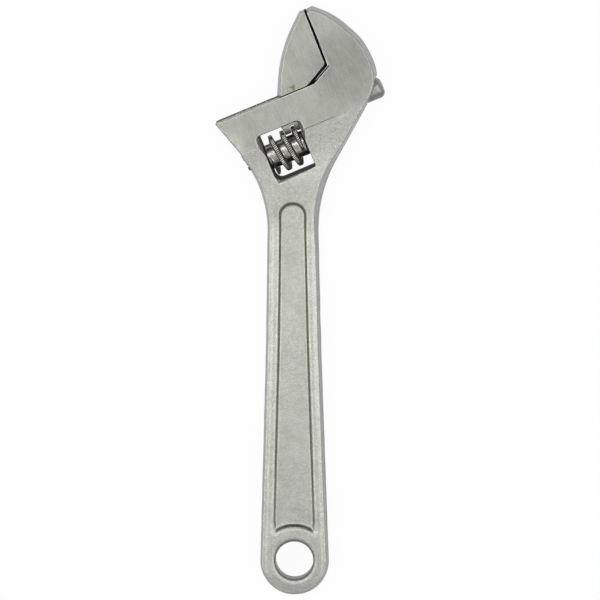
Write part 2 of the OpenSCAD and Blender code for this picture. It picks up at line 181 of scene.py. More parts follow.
def meet(p, d, q, e):
    """Where the line through p along d meets the line through q along e."""
    cross = d[0] * e[1] - d[1] * e[0]
    step = ((q[0] - p[0]) * e[1] - (q[1] - p[1]) * e[0]) / cross
    return p + d * step


def both(a, b, r=0.0):
    """Intersection of two fields, with its edge rounded to radius r."""
    if np.isscalar(r) and r == 0.0:
        return np.maximum(a, b)
    corner = np.hypot(np.maximum(a + r, 0), np.maximum(b + r, 0))
    return np.minimum(np.maximum(a, b), -r) + corner


def either(a, b, r=0.0):
    """Union of two fields, with a fillet of radius r."""
    return -both(-a, -b, r)


def less(a, b, r=0.0):
    """Field a with b cut away, and the rim of the cut rounded to radius r."""
    return both(a, -b, r)


def through(plan):
    """A plan's field, the same at every height."""
    return plan[:, :, None]


def ramp(x, low, high):
    """Smooth step from 0 at low to 1 at high."""
    t = np.clip((x - low) / (high - low), 0, 1)
    return t * t * (3 - 2 * t)


def changing(x, value, changes):
    """A value with each of its changes (amount, from, to) added smoothly along x."""
    for amount, low, high in changes:
        value = value + amount * ramp(x, low, high)
    return value


def swell(x, middle, width):
    """Smooth hump of height 1."""
    return np.exp(-((x - middle) / width) ** 2)


def waves(x, y, height, size, seed):
    """Smooth random height up to about the one given, whose bumps are about size apart."""
    count, usual_peak = 14, 5
    rng = np.random.default_rng(seed)
    total = np.zeros(np.broadcast(x, y).shape)
    for _ in range(count):
        angle = rng.uniform(0, 2 * math.pi)
        rate = 2 * math.pi / (size * rng.uniform(0.7, 1.6))
        along = x * math.cos(angle) + y * math.sin(angle)
        total += np.sin(rate * along + rng.uniform(0, 6.28))
    return height * (total / usual_peak)


def outline(corners):
    """Points of an outline through corners (x, y, radius), with the corners as arcs."""
    points_per_radian = 5
    points = []
    for i, (x, y, r) in enumerate(corners):
        corner = np.array([x, y])
        into = corner - np.array(corners[i - 1][:2])
        out = np.array(corners[(i + 1) % len(corners)][:2]) - corner
        into, out = into / np.hypot(*into), out / np.hypot(*out)
        turn = math.atan2(into[0] * out[1] - into[1] * out[0], into @ out)
        start = corner - into * r * math.tan(abs(turn) / 2)
        centre = start + np.array([-into[1], into[0]]) * r * np.sign(turn)
        arm = start - centre
        steps = max(2, math.ceil(abs(turn) * math.sqrt(r) * points_per_radian))
        for k in range(steps + 1):
            cos, sin = math.cos(turn * k / steps), math.sin(turn * k / steps)
            points.append(centre + [arm[0] * cos - arm[1] * sin, arm[0] * sin + arm[1] * cos])
    return np.array(points)


def plan_distance(x, y, points):
    """Signed distance from x, y to a closed outline, negative inside."""
    shortest = 1e-12
    best = np.full(x.shape, np.inf)
    inside = np.zeros(x.shape, bool)
    for a, b in zip(points, np.roll(points, -1, axis=0)):
        d = b - a
        length2 = d @ d
        if length2 < shortest:
            continue
        t = np.clip(((x - a[0]) * d[0] + (y - a[1]) * d[1]) / length2, 0, 1)
        best = np.minimum(best, (x - a[0] - t * d[0]) ** 2 + (y - a[1] - t * d[1]) ** 2)
        if a[1] != b[1]:
            crosses = (a[1] > y) != (b[1] > y)
            inside ^= crosses & (x < d[0] * (y - a[1]) / d[1] + a[0])
    return np.where(inside, -1, 1) * np.sqrt(best)


# --- Meshes from fields ------------------------------------------------------------------------

def grid(low, high, step):
    """Axes of a grid that covers the box, with its points at whole steps."""
    return [np.arange(math.floor(a / step) - 1, math.ceil(b / step) + 2) * step
            for a, b in zip(low, high)]


def upper_axis(top, step):
    """Axis of heights from 0 to above the top, for a field that is mirrored afterwards."""
    return np.arange(0, int((top + Z_MARGIN) / step) + 2) * step


def mirrored(field, axes):
    """The field and its grid continued to negative z."""
    whole = np.concatenate([field[:, :, :0:-1], field], axis=2)
    return whole, [axes[0], axes[1], np.concatenate([-axes[2][:0:-1], axes[2]])]


def corner_values(array, cells, shift):
    """The array's value at one corner of each cell, given the corner's shift of 0 or 1 each way."""
    return array[tuple(slice(s, n + s) for s, n in zip(shift, cells))]


def cell_points(field, inside, cells):
    """Mean crossing of the surface in each cell that it passes, as cells and places in them."""
    total = np.zeros((*cells, 3), np.float32)
    count = np.zeros(cells, np.float32)
    for axis in range(3):
        for start in product((0, 1), repeat=3):
            if start[axis]:
                continue
            end = np.array(start)
            end[axis] = 1
            hit = np.nonzero(corner_values(inside, cells, start)
                             != corner_values(inside, cells, end))
            before = corner_values(field, cells, start)[hit]
            after = corner_values(field, cells, end)[hit]
            crossing = np.empty((len(before), 3), np.float32)
            crossing[:] = start
            crossing[:, axis] = before / (before - after)
            total[hit] += crossing
            count[hit] += 1
    used = np.nonzero(count)
    return used, total[used] / count[used][:, None]


def cell_quads(inside, cells, used):
    """One quad for each grid edge that the surface crosses, facing out."""
    index = np.full(cells, -1, np.int64)
    index[used] = np.arange(len(used[0]))
    quads = []
    for axis in range(3):
        b, c = (axis + 1) % 3, (axis + 2) % 3
        low = [slice(1, n) for n in cells]
        low[axis] = slice(0, cells[axis])
        high = list(low)
        high[axis] = slice(1, cells[axis] + 1)
        start, end = inside[tuple(low)], inside[tuple(high)]
        edges = np.stack(np.nonzero(start != end), 1)
        base = edges.copy()
        base[:, [b, c]] += 1
        quad = []
        for db, dc in ((0, 0), (-1, 0), (-1, -1), (0, -1)):
            cell = base.copy()
            cell[:, b] += db
            cell[:, c] += dc
            quad.append(index[tuple(cell.T)])
        quad = np.stack(quad, 1)
        inward = ~start[tuple(edges.T)]
        quad[inward] = quad[inward][:, ::-1]
        quads.append(quad)
    return np.concatenate(quads)


def field_normals(field, places):
    """Unit gradient of the field at places given in grid steps."""
    shortest = 1e-9
    last = np.array(field.shape) - 1
    normals = np.zeros(places.shape, np.float32)
    corner = np.floor(places).astype(int)
    part = places - corner
    for shift in product((0, 1), repeat=3):
        i = np.minimum(corner + shift, last)
        weight = np.where(shift, part, 1 - part).prod(axis=1)
        for axis in range(3):
            ahead, behind = i.copy(), i.copy()
            ahead[:, axis] = np.minimum(i[:, axis] + 1, last[axis])
            behind[:, axis] = np.maximum(i[:, axis] - 1, 0)
            normals[:, axis] += weight * (field[tuple(ahead.T)] - field[tuple(behind.T)])
    return normals / np.maximum(np.linalg.norm(normals, axis=1), shortest)[:, None]


def surface(field, axes):
    """Vertices, quads and normals of the field's zero surface, one vertex for each cell crossed."""
    field = field.astype(np.float32)
    inside = field < 0
    cells = tuple(n - 1 for n in field.shape)
    used, local = cell_points(field, inside, cells)
    places = np.stack(used, 1) + local
    origin = np.array([axis[0] for axis in axes])
    step = axes[0][1] - axes[0][0]
    return origin + places * step, cell_quads(inside, cells, used), field_normals(field, places)


def laid_in_head(verts, quads, normals):
    """A surface worked out in the head's frame, turned into the part's frame."""
    return verts @ HEAD_TURN + HEAD_CENTRE, quads, normals @ HEAD_TURN


def add_piece(name, mesh, body, node, material):
    """An object of the mesh, riding on its body in place of its CAD node."""
    mesh.materials.append(material)
    obj = bpy.data.objects.new(name, mesh)
    bpy.context.scene.collection.objects.link(obj)
    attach(obj, body)
    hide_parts(node)


def field_piece(name, verts, quads, normals, body, node, slot, material):
    """A piece from a field's surface, shaded by the field's own normals."""
    mesh = bpy.data.meshes.new(name)
    mesh.vertices.add(len(verts))
    mesh.vertices.foreach_set("co", (verts * MM).astype(np.float32).ravel())
    mesh.loops.add(quads.size)
    mesh.loops.foreach_set("vertex_index", quads.astype(np.int32).ravel())
    mesh.polygons.add(len(quads))
    mesh.polygons.foreach_set("loop_start", np.arange(0, quads.size, 4, dtype=np.int32))
    mesh.update(calc_edges=True)
    mesh.validate()
    mesh.shade_smooth()
    mesh.normals_split_custom_set_from_vertices(normals.astype(np.float32))
    add_piece(name, mesh, body, node, material)


# --- Colours (linear) and marks ----------------------------------------------------------------

SKIN = (0.455, 0.462, 0.42)
# Steep sides, darker than the skin as painted shade.
SHADED_SIDE = (0.385, 0.39, 0.382)
GROUND = (0.38, 0.39, 0.348)
JAW_GROUND = (0.378, 0.386, 0.348)
# Painted shade on the panel's walls, darkest at its lower end.
PANEL_WALL_SHADE, PANEL_END_SHADE = (0.29, 0.29, 0.235), (0.1, 0.1, 0.085)
# Painted shade on the hanging hole's wall.
HOLE_WALL_SHADE = (0.25, 0.25, 0.235)
GROUND_LIMIT = (0.12, 0.12, 0.1)
RELIEF = (0.36, 0.36, 0.31)
# Painted shade on the window's walls.
WINDOW_WALL_SHADE = (0.035, 0.035, 0.03)
THROAT_WALL = (0.3, 0.3, 0.26)
# Painted shade on the fixed jaw's rim by the gap between the jaws.
FACE_RIM_SHADE = (0.02, 0.02, 0.018)
# Dark slide edge, and painted glints on it.
SLIDE_EDGE_DARK, SLIDE_GLINT = (0.09, 0.09, 0.08), (0.8, 0.8, 0.77)
# Painted shade on the jaw's gripping face by the gap and along its foot.
JAW_GAP_SHADE = (0.015, 0.015, 0.013)
RAIL = (0.36, 0.36, 0.33)
RUST = (0.23, 0.2, 0.125)
# Painted shade on the worm's flanks.
WORM_CORE, WORM_FLANK_SHADE = (0.37, 0.355, 0.33), (0.035, 0.032, 0.032)
# Painted shade in the knurl's valleys.
KNURL_TOP, KNURL_VALLEY_SHADE = (0.46, 0.45, 0.4), (0.03, 0.03, 0.025)
# Axle darkened as painted shade.
AXLE_SHADE = (0.051, 0.05025, 0.049)
WIRE = (0.459, 0.45225, 0.441)
PAPER = (0.9, 0.9, 0.9)

# Patches of the ground faces: a range of u and one of v, each low, high, softness.
COMBED_PATCH = ((0, 20, 3), (5, 15, 3))
STRIPE_PATCH = ((8.8, 9.5, 0.35), (7, 15, 2))
LIGHT_PATCH = ((-18, -12.5, 2), (5.5, 12.5, 3))
LIGHT_GAIN, STRIPE_GAIN = 1.3, 1.08
DARK_SPOT, DARK_SPOT_RANGE, DARK_SPOT_GAIN = (30.5, 20), (17, 6), 0.8
COMB_PITCH, COMB_WANDER, COMB_DEPTH = 0.76, 12.0, 0.045
RUST_SPOT, RUST_LEN, RUST_SPREAD = (10.95, 18.5), 2.0, 0.52
LIMIT_U, LIMIT_STRENGTH = (9.0, 22.0, 0.8), 0.7

# Tone of the skin: painted shade along y, darker towards the ground faces along v, and the painted
# highlight on its edges.
SKIN_SHADE_Y, SKIN_SHADE_GAINS = (-10, 90), (0.88, 1.04)
SKIN_DARK_V, SKIN_DARK_GAIN = (-14, 3), 0.77
HIGHLIGHT_FACING, HIGHLIGHT_GAIN = (0.8, 0.985, 0.01), 1.15
STEEP_FACING = (0.85, 0.45)

# Stretch of the drawn-out noises along u, v and z: the higher, the finer.
HATCH_SCALE, STREAK_SCALE = (2.2, 0.22, 1.0), (0.5, 0.05, 0.2)
RAGGED_SCALE, GLINT_SCALE = (1.0, 1.0, 0.15), (1.0, 1.0, 0.25)
TURNED_SCALE, AXLE_SCALE, WIRE_SCALE = (3.0, 0.4, 0.4), (0.6, 4.0, 4.0), (0.5, 3.0, 3.0)
NOISE_MIDDLE = (0.3, 0.7)

# Roughness, lowest and highest or one value, and heights of the bumps in millimetres.
SKIN_ROUGH, GROUND_ROUGH, DULL_ROUGH = (0.42, 0.54), (0.37, 0.43), 0.85
WORM_ROUGH, FLANK_ROUGH = (0.22, 0.34), 0.7
AXLE_ROUGH, WIRE_ROUGH, PAPER_ROUGH = (0.3, 0.43), (0.2, 0.33), 0.9
BLAST_H, PIT_H, HATCH_H, TURNED_H, DRAWN_H = 0.09, 0.07, 0.02, 0.02, 0.015


# --- Materials ---------------------------------------------------------------------------------

class Nodes:
    """Short way to lay out the nodes of a material or of the world."""

    def __init__(self, owner, shader):
        owner.use_nodes = True
        self.owner = owner
        self.tree = owner.node_tree
        self.shader = self.tree.nodes[shader]

    def add(self, kind, inputs=None, **settings):
        """A node with its settings, and its inputs linked to sockets or set to values."""
        node = self.tree.nodes.new(kind)
        for key, value in settings.items():
            setattr(node, key, value)
        for key, value in (inputs or {}).items():
            if isinstance(value, bpy.types.NodeSocket):
                self.tree.links.new(value, node.inputs[key])
            else:
                node.inputs[key].default_value = value
        return node

    def link(self, output, socket):
        """Feed the shader's own socket."""
        self.tree.links.new(output, self.shader.inputs[socket])

    def math(self, operation, a, b=0.0):
        return self.add("ShaderNodeMath", {0: a, 1: b}, operation=operation).outputs[0]

    def plus(self, a, b):
        return self.math("ADD", a, b)

    def minus(self, a, b):
        return self.math("SUBTRACT", a, b)

    def times(self, first, *others):
        for other in others:
            first = self.math("MULTIPLY", first, other)
        return first

    def length(self, a, b):
        return self.math("SQRT", self.plus(self.times(a, a), self.times(b, b)))

    def mix(self, factor, a, b):
        """Blend of two colours, each a socket or three numbers."""
        a, b = ((*colour, 1) if isinstance(colour, tuple) else colour for colour in (a, b))
        return self.add("ShaderNodeMix", {0: factor, 6: a, 7: b}, data_type="RGBA").outputs[2]

    def blend(self, factor, a, b):
        """Blend of two numbers."""
        return self.add("ShaderNodeMix", {0: factor, 2: a, 3: b}, data_type="FLOAT").outputs[0]

    def step(self, value, low, high):
        """0 at low, 1 at high, smooth between."""
        return self.add("ShaderNodeMapRange", {0: value, 1: low, 2: high},
                        interpolation_type="SMOOTHSTEP").outputs[0]

    def noise(self, vector, scale, detail=3.0, rough=0.55):
        return self.add("ShaderNodeTexNoise", {"Vector": vector, "Scale": scale, "Detail": detail,
                                               "Roughness": rough}).outputs["Fac"]

    def vary(self, noise, low, high):
        """A number that goes from low to high with a noise."""
        return self.blend(self.step(noise, *NOISE_MIDDLE), low, high)

    def bump(self, height):
        """Bump of a height in millimetres."""
        node = self.add("ShaderNodeBump", {"Strength": 1.0, "Distance": MM, "Height": height})
        self.link(node.outputs[0], "Normal")


def new_material(name):
    return Nodes(bpy.data.materials.new(name), "Principled BSDF")


def scaled(n, vector, scale):
    return n.add("ShaderNodeVectorMath", {0: vector, 1: scale}, operation="MULTIPLY").outputs[0]


def split(n, vector):
    return n.add("ShaderNodeSeparateXYZ", {0: vector}).outputs


def shade(n, colour, *factors):
    """Colour, a socket or three numbers, times each factor."""
    inputs = {0: colour, "Scale": n.times(*factors)}
    return n.add("ShaderNodeVectorMath", inputs, operation="SCALE").outputs[0]


def in_range(n, value, low, high, soft):
    """1 where low < value < high, with soft edges."""
    return n.times(n.step(value, low - soft, low + soft), n.step(value, high + soft, high - soft))


def patch(n, at, u_range, v_range):
    """1 inside a box of the head's frame; each range is low, high, softness."""
    return n.times(in_range(n, at.u, *u_range), in_range(n, at.v, *v_range))


def grain(n, place, size, contrast):
    """Random factor round 1 at a size in millimetres."""
    return n.vary(n.noise(place, 1 / size, 3.0, 0.6), 1 - contrast, 1 + contrast)


def turned_to_head(n, vector):
    angle = -math.atan2(U_DIR[1], U_DIR[0])
    return n.add("ShaderNodeVectorRotate",
                 {"Vector": vector, "Axis": (0, 0, 1), "Angle": angle}).outputs[0]


def locate(n):
    """Sockets that tell where a point of the surface is, in millimetres, and how it faces."""
    coordinates = n.add("ShaderNodeTexCoord").outputs
    part_place = scaled(n, coordinates["Object"], (1 / MM, 1 / MM, 1 / MM))
    x, y, z = split(n, part_place)
    from_centre = n.add("ShaderNodeVectorMath", {0: part_place, 1: tuple(HEAD_CENTRE)},
                        operation="SUBTRACT").outputs[0]
    place = turned_to_head(n, from_centre)
    u, v, _ = split(n, place)
    normal = split(n, turned_to_head(n, coordinates["Normal"]))
    facing = n.math("ABSOLUTE", normal[2])
    return SimpleNamespace(
        place=place, x=x, y=y, z=z, u=u, v=v, height=n.math("ABSOLUTE", z),
        normal_u=normal[0], facing=facing, steep=n.step(facing, *STEEP_FACING))


def steel(name, ground_colour, ground_low, paint):
    """Plated steel: blasted forging and ground faces with fine lines, from v = ground_low upward.

    paint lays the piece's own walls and marks, painted shade among them, over that colour.
    It gives the new colour, and where its painted shade and dark marks make the surface dull.
    """
    n = new_material(name)
    at = locate(n)
    hatch = n.noise(scaled(n, at.place, HATCH_SCALE), 1.0, 3.0, 0.6)
    pits = n.noise(at.place, 2.4, 2.0, 0.5)
    # Painted highlight on rounded edges, where the surface faces partly up.
    edge_highlight = n.blend(in_range(n, at.facing, *HIGHLIGHT_FACING), 1.0, HIGHLIGHT_GAIN)
    skin = shade(n, SKIN, grain(n, at.place, 0.4, 0.17), grain(n, at.place, 1.1, 0.08),
                 grain(n, at.place, 7, 0.05), skin_gradients(n, at), edge_highlight)
    # Steep sides: the skin's steel darkened as painted shade.
    sides = shade(n, SHADED_SIDE, grain(n, at.place, 0.5, 0.12), grain(n, at.place, 3, 0.08))
    faces = shade(n, ground_colour, ground_lines(n, at, hatch), ground_tone(n, at), edge_highlight)
    on_ground = n.times(in_range(n, at.height, GROUND_T - 0.04, GROUND_T + 0.04, 0.03),
                        n.step(at.v, ground_low - 0.15, ground_low + 0.15))
    colour = n.mix(on_ground, n.mix(at.steep, skin, sides), faces)
    colour, dull = paint(n, at, colour)
    n.link(colour, "Base Color")

    rough = n.blend(on_ground, n.vary(pits, *SKIN_ROUGH), n.vary(hatch, *GROUND_ROUGH))
    n.link(n.blend(dull, rough, DULL_ROUGH), "Roughness")
    n.link(n.minus(1.0, dull), "Metallic")

    blasted = n.times(n.noise(at.place, 2.8, 4.0, 0.65), BLAST_H)
    n.bump(n.blend(on_ground, n.plus(blasted, n.times(pits, PIT_H)), n.times(hatch, HATCH_H)))
    return n.owner


def skin_gradients(n, at):
    """Skin darker at the tail than at the neck as painted shade, and darker beside the ground
    faces.
    """
    return n.times(n.blend(n.step(at.y, *SKIN_SHADE_Y), *SKIN_SHADE_GAINS),
                   n.blend(n.step(at.v, *SKIN_DARK_V), 1.0, SKIN_DARK_GAIN))


def ground_lines(n, at, hatch):
    """Brightness of the grinding: fine hatching, coarser combed lines in places, and one stripe."""
    streaks = n.noise(scaled(n, at.place, STREAK_SCALE), 1.0, 2.0, 0.5)
    wander = n.times(n.noise(at.place, 0.25, 2.0), COMB_WANDER)
    lines = n.math("SINE", n.plus(n.times(at.u, 2 * math.pi / COMB_PITCH), wander))
    combed = n.plus(n.step(n.noise(at.place, 0.12, 1.0), 0.4, 0.6), patch(n, at, *COMBED_PATCH))
    comb = n.plus(1.0, n.times(lines, n.times(combed, COMB_DEPTH)))
    stripe = n.blend(patch(n, at, *STRIPE_PATCH), 1.0, STRIPE_GAIN)
    return n.times(comb, stripe, n.vary(hatch, 0.95, 1.05), n.vary(streaks, 0.98, 1.02),
                   grain(n, at.place, 0.4, 0.06), grain(n, at.place, 4, 0.06))


def ground_tone(n, at):
    """Ground faces lighter low on the left flank and darker in the middle of the fixed jaw."""
    reach = n.length(n.minus(at.u, DARK_SPOT[0]), n.minus(at.v, DARK_SPOT[1]))
    return n.times(n.blend(patch(n, at, *LIGHT_PATCH), 1.0, LIGHT_GAIN),
                   n.blend(n.step(reach, *DARK_SPOT_RANGE), 1.0, DARK_SPOT_GAIN))


def paint_body(n, at, colour):
    """Body's marks, mostly painted shade: panel, hole, limit of the ground face, window, opening.
    """
    blotches = n.step(n.noise(at.place, 1.6, 4.0, 0.7), 0.35, 0.65)
    colour = paint_panel(n, at, colour)
    # Painted shade on the hanging hole's wall.
    in_hole = n.times(n.step(n.length(at.x, at.y), HOLE_R + 0.9, HOLE_R + 0.6), at.steep)
    colour = n.mix(in_hole, colour, shade(n, HOLE_WALL_SHADE, grain(n, at.place, 0.6, 0.25)))

    ragged_v = n.plus(at.v, n.times(blotches, 0.1))
    limit = n.times(in_range(n, ragged_v, GROUND_V - 0.15, GROUND_V + 0.12, 0.05),
                    in_range(n, at.u, *LIMIT_U))
    colour = n.mix(n.times(limit, LIMIT_STRENGTH), colour, GROUND_LIMIT)

    colour, window = paint_window(n, at, blotches, colour)
    colour, opening = paint_opening(n, at, blotches, colour)
    return colour, n.math("MAXIMUM", window, opening)


def paint_panel(n, at, colour):
    """Painted shade on the panel's walls, darkest at its lower end, and its slightly darker floor.
    """
    in_panel = n.times(in_range(n, at.y, PANEL_END - 2.5, PANEL_TOP + 1.2, 0.4),
                       n.step(n.math("ABSOLUTE", at.x), WAIST_HALF_W - 2.6, WAIST_HALF_W - 3.0))
    floor = n.times(in_panel, n.step(at.height, WEB_T + 0.6, WEB_T + 0.3))
    colour = shade(n, colour, n.blend(floor, 1.0, 0.93))
    wall_shade = n.mix(n.step(at.y, PANEL_END + 6, PANEL_END + 2.5),
                        shade(n, PANEL_WALL_SHADE, grain(n, at.place, 0.45, 0.35)),
                        shade(n, PANEL_END_SHADE, grain(n, at.place, 0.45, 0.5)))
    return n.mix(n.times(n.step(at.facing, 0.97, 0.8), in_panel), colour, wall_shade)


def paint_window(n, at, blotches, colour):
    """Thumb reliefs and the window's walls in painted shade. Gives the colour and where they are.
    """
    relief = patch(n, at, (WINDOW_LEFT - 1.8, WINDOW_RIGHT + 1.8, 0.2), (-4, WINDOW_TOP + 0.6, 0.3))
    relief = n.times(relief, n.step(at.height, GROUND_T - 0.08, GROUND_T - 0.2))
    colour = n.mix(relief, colour, shade(n, RELIEF, grain(n, at.place, 0.5, 0.35)))
    window = patch(n, at, (WINDOW_LEFT - 0.12, WINDOW_RIGHT + 0.12, 0.1),
                   (WINDOW_LOW - 1.2, WINDOW_TOP + 0.3, 0.1))
    inner = n.math("LESS_THAN", at.height, GROUND_T - 1.5)
    wall = n.times(window, n.math("MAXIMUM", at.steep, inner))
    dark = shade(n, WINDOW_WALL_SHADE, n.blend(blotches, 0.5, 1.4), grain(n, at.place, 0.4, 0.3))
    return n.mix(wall, colour, dark), wall


def paint_opening(n, at, blotches, colour):
    """Painted shade in the throat's corner and on the fixed jaw's rim; dark slide edge, painted
    glints.

    Gives the colour, and where the edge and the rim are.
    """
    throat_v = SLIDE_V + THROAT_RISE
    opening = n.times(n.step(at.v, SLIDE_V - 0.5, SLIDE_V - 0.3),
                      n.step(at.u, FACE_U + 0.5, FACE_U + 0.3))
    # Painted shade on the fixed jaw's rim by the gap between the jaws.
    rim = n.times(opening, n.times(n.step(at.u, FACE_U + 0.2, FACE_U + 0.12),
                                   n.step(at.v, throat_v - 0.2, throat_v)))
    # Painted shade deepening into the throat's corner.
    corner_shade = n.blend(n.step(at.u, FACE_U - 2.4, FACE_U - 0.8), 1.0, 0.1)
    wall = shade(n, THROAT_WALL, grain(n, at.place, 0.5, 0.3), grain(n, at.place, 1.2, 0.4),
                 corner_shade)
    colour = n.mix(n.times(opening, at.steep), colour, wall)

    ragged = n.noise(scaled(n, at.place, RAGGED_SCALE), 0.5, 2.0, 0.5)
    ragged_z = n.minus(at.z, n.times(n.minus(ragged, 0.5), 9.0))
    edge = n.times(in_range(n, at.v, SLIDE_V - 0.2, SLIDE_V + 0.5, 0.06),
                   n.step(ragged_z, 2.5, 0.0),
                   n.step(at.u, FACE_U - THROAT_RUN + 0.5, FACE_U - THROAT_RUN))
    # Painted glints on the slide edge.
    glints = n.noise(scaled(n, at.place, GLINT_SCALE), 1.2, 2.0, 0.5)
    edge_colour = n.mix(n.step(glints, 0.6, 0.66),
                        shade(n, SLIDE_EDGE_DARK, n.blend(blotches, 0.5, 1.6)), SLIDE_GLINT)
    colour = n.mix(rim, n.mix(edge, colour, edge_colour), FACE_RIM_SHADE)
    return colour, n.math("MAXIMUM", edge, rim)


def paint_jaw(n, at, colour):
    """Painted shade on the gripping face and foot, a duller rail, and a small rust mark over the
    foot.
    """
    over_slide = n.step(at.v, SLIDE_V - 0.5, SLIDE_V - 0.3)
    # Painted shade on the gripping face by the gap and along the foot.
    gap = n.times(n.step(at.normal_u, 0.25, 0.5), over_slide, at.steep)
    foot = n.times(n.step(at.v, SLIDE_V + 0.45, SLIDE_V + 0.3), over_slide)
    dull = n.math("MAXIMUM", gap, foot)
    colour = n.mix(dull, colour, shade(n, JAW_GAP_SHADE, grain(n, at.place, 0.5, 0.3)))
    # Rail in painted shade, darker towards its teeth.
    rail = shade(n, RAIL, grain(n, at.place, 0.5, 0.2), grain(n, at.place, 2.5, 0.2),
                 n.blend(n.step(at.v, 5.2, 7.0), 0.75, 1.0))
    colour = n.mix(n.step(at.v, SLIDE_V - 2, SLIDE_V - 2.5), colour, rail)

    rust_u, rust_v = RUST_SPOT
    across = n.math("ABSOLUTE", n.minus(at.u, rust_u))
    outside = n.minus(across, n.times(n.minus(at.v, rust_v), RUST_SPREAD))
    ragged = n.plus(outside, n.times(n.minus(n.noise(at.place, 2.0, 3.0, 0.6), 0.5), 0.5))
    rust = n.times(n.step(ragged, 0.3, -0.1), in_range(n, at.v, rust_v, rust_v + RUST_LEN, 0.15),
                   n.step(at.height, GROUND_T - 0.2, GROUND_T - 0.1))
    return n.mix(rust, colour, RUST), dull


def worm_steel():
    """Turned core, flanks in painted shade, and a knurled crest with painted shade in its valleys.
    """
    n = new_material("worm_steel")
    at = locate(n)
    radius = n.length(at.v, at.z)
    angle = n.math("ARCTAN2", at.z, at.v)
    along = n.minus(n.minus(at.u, THREAD_U), n.times(angle, PITCH / (2 * math.pi)))
    offset = n.add("ShaderNodeMath", {0: along, 1: PITCH / 2, 2: -PITCH / 2},
                   operation="WRAP").outputs[0]
    ridges = n.math("SINE", n.plus(n.times(angle, KNURL_COUNT), n.times(offset, KNURL_LEAN)))
    turned = n.noise(scaled(n, at.place, TURNED_SCALE), 1.0, 3.0, 0.6)
    core = shade(n, WORM_CORE, n.vary(turned, 0.85, 1.15), grain(n, at.place, 1.3, 0.45))
    # Painted shade in the knurl's valleys.
    crest = n.mix(n.step(ridges, 0.2, 0.7), shade(n, KNURL_TOP, grain(n, at.place, 0.4, 0.25)),
                  shade(n, KNURL_VALLEY_SHADE, grain(n, at.place, 0.4, 0.3)))
    # Painted shade on the thread's flanks.
    flank = shade(n, WORM_FLANK_SHADE, grain(n, at.place, 0.5, 0.5))
    on_thread = n.step(radius, CORE_R + 0.05, CORE_R + 0.3)
    on_crest = n.step(radius, WORM_R - 0.35, WORM_R - 0.2)
    n.link(n.mix(on_crest, n.mix(on_thread, core, flank), crest), "Base Color")
    dull = n.times(on_thread, n.minus(1.0, on_crest))
    n.link(n.blend(dull, n.vary(turned, *WORM_ROUGH), FLANK_ROUGH), "Roughness")
    n.link(n.minus(1.0, dull), "Metallic")
    n.bump(n.times(turned, TURNED_H))
    return n.owner


def bare_steel(name, colour, rough, scale):
    """Turned or drawn steel with fine lines of a scale along each direction, darker in patches."""
    n = new_material(name)
    place = locate(n).place
    fine = n.noise(scaled(n, place, scale), 1.0, 4.0, 0.6)
    n.link(shade(n, colour, n.vary(fine, 0.8, 1.2), grain(n, place, 2.5, 0.3)), "Base Color")
    n.link(n.vary(fine, *rough), "Roughness")
    n.shader.inputs["Metallic"].default_value = 1.0
    n.bump(n.times(fine, DRAWN_H))
    return n.owner


# --- Body --------------------------------------------------------------------------------------

def side_x(y):
    """Half width of the handle at height y, between its round end, its waist and its neck."""
    if y < WAIST_Y:
        return WAIST_HALF_W + (TAIL_R - WAIST_HALF_W) * (WAIST_Y - y) / (WAIST_Y + TAIL_DROP)
    return WAIST_HALF_W + (NECK_HALF_W - WAIST_HALF_W) * (y - WAIST_Y) / (NECK_Y - WAIST_Y)


def body_outline():
    """Outline of the forging at its parting line, before the jaw's opening is cut."""
    right_dir = np.array([math.sin(FLARE_RIGHT_LEAN), math.cos(FLARE_RIGHT_LEAN)])
    left_dir = np.array([math.sin(FLARE_LEFT_LEAN), math.cos(FLARE_LEFT_LEAN)])
    right_foot = np.array([side_x(FLARE_RIGHT_Y), FLARE_RIGHT_Y])
    left_foot = np.array([-side_x(FLARE_LEFT_Y), FLARE_LEFT_Y])
    over_slide = SLIDE_V + 4
    back = meet(right_foot, right_dir, from_head(BACK_U, 0), V_DIR)
    left_end = meet(left_foot, left_dir, from_head(0, over_slide), U_DIR)
    tail_y = -TAIL_R - TAIL_DROP
    tail_x = side_x(tail_y)
    return outline([
        (tail_x, tail_y, TAIL_R - 0.05),
        (WAIST_HALF_W, WAIST_Y, WAIST_ROUND),
        (*right_foot, FLARE_RIGHT_ROUND),
        (*back, 14.2),
        (*from_head(BACK_U - 0.3, TIP_V - 16.9), 24.4),
        (*from_head(BACK_U - 6.7, TIP_V - 4.6), 24),
        (*from_head(FACE_U + 2.2, TIP_V + 0.9), 0.5),
        (*from_head(FACE_U - 6, TIP_V + 0.2), 1),
        (*from_head(FACE_U - 6, over_slide), 1),
        (*left_end, 1),
        (*left_foot, FLARE_LEFT_ROUND),
        (-WAIST_HALF_W, WAIST_Y, WAIST_ROUND),
        (-tail_x, tail_y, TAIL_R - 0.05),
    ])


def panel_outline():
    """Outline of the panel, before the arc round the hanging hole cuts its lower end."""
    low_y = TAIL_R / 2
    low_x, waist_x, top_x = side_x(low_y) - RIM_W, WAIST_HALF_W - RIM_W, side_x(PANEL_TOP) - RIM_W
    right = [(low_x, low_y, 0.5), (waist_x, WAIST_Y, WAIST_ROUND), (top_x, PANEL_TOP, 0.97 * top_x)]
    return outline(right + [(-x, y, r) for x, y, r in reversed(right)])


def side_draft(x, y, v):
    """How far the forging's side draws in for each millimetre of height."""
    left = changing(y, LEFT_DRAFT, LEFT_DRAFT_CHANGES)
    right = changing(y, RIGHT_DRAFT, RIGHT_DRAFT_CHANGES)
    right = changing(v, right, (TIP_DRAFT_CHANGE,))
    return left + (right - left) * ramp(x, -6, 6)


